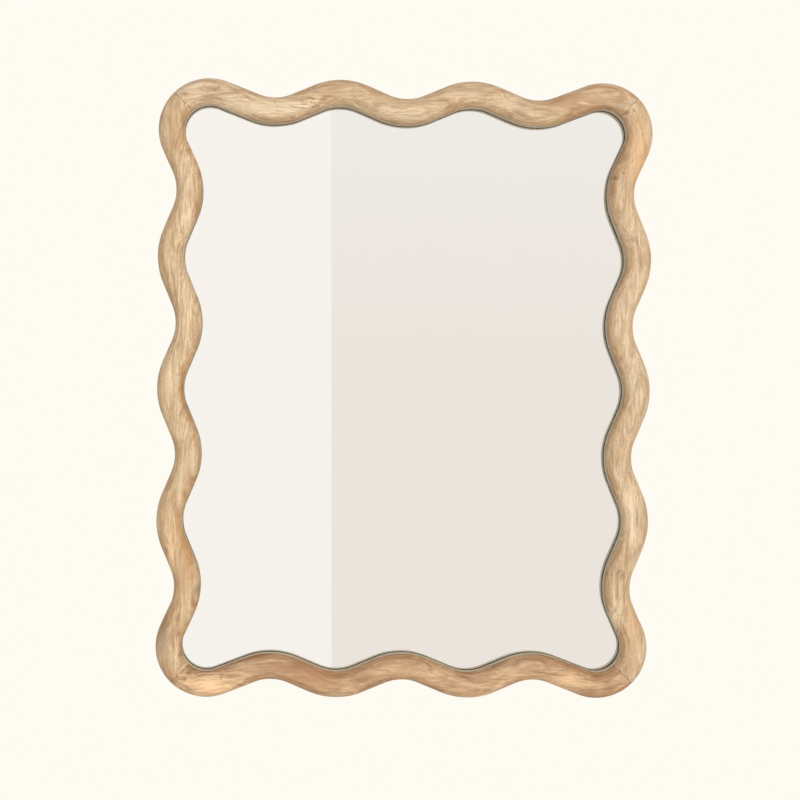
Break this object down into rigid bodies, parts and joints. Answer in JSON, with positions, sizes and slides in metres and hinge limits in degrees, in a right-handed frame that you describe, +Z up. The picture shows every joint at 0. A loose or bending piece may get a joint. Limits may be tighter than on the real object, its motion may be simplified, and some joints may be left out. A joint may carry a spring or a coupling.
{
  "type": "wall mirror",
  "caption": "Portrait wall mirror in a pale half-round wooden frame whose four sides run in even waves, with two strap hangers on the back.",
  "frame": {"origin": "middle of the frame's flat back plane, centred across the width and the height", "axes": "+X to the right seen from the front, +Y out of the back towards the wall, +Z up; the mirror faces -Y"},
  "size_m": [0.61, 0.0328, 0.762],
  "materials": {
    "oiled_wood": "oiled pale wood, satin, fine straight grain",
    "beech": "planed beech, bare",
    "mirror": "silvered float glass",
    "foam": "white foamed sheet, matt",
    "hardboard": "brown pressed fibre board, matt",
    "plated_steel": "nickel plate, satin",
    "screw_steel": "bright zinc plate",
    "bumper_rubber": "grey soft polyurethane, satin"
  },
  "bodies": {
    "frame": {"top_rail": "oiled_wood", "bottom_rail": "oiled_wood", "left_stile": "oiled_wood", "right_stile": "oiled_wood", "top_left_spline": "beech", "top_right_spline": "beech", "bottom_right_spline": "beech", "bottom_left_spline": "beech", "mirror_glass": "mirror", "foam_sheet": "foam", "back_board": "hardboard", "board_points": "plated_steel", "left_hanger_strap": "plated_steel", "right_hanger_strap": "plated_steel", "left_hanger_screws": "screw_steel", "right_hanger_screws": "screw_steel", "left_wall_bumper": "bumper_rubber", "right_wall_bumper": "bumper_rubber"},
    "left_ring": {"left_hanger_ring": "plated_steel"},
    "right_ring": {"right_hanger_ring": "plated_steel"}
  },
  "joints": [
    {"name": "left_ring_swing", "type": "hinge", "parent": "frame", "child": "left_ring", "pos_m": [-0.2905, 0.00225, 0.1667], "axis": [-1, 0, 0], "range_deg": [-3, 172]},
    {"name": "right_ring_swing", "type": "hinge", "parent": "frame", "child": "right_ring", "pos_m": [0.2905, 0.00225, 0.1667], "axis": [-1, 0, 0], "range_deg": [-3, 172]}
  ]
}
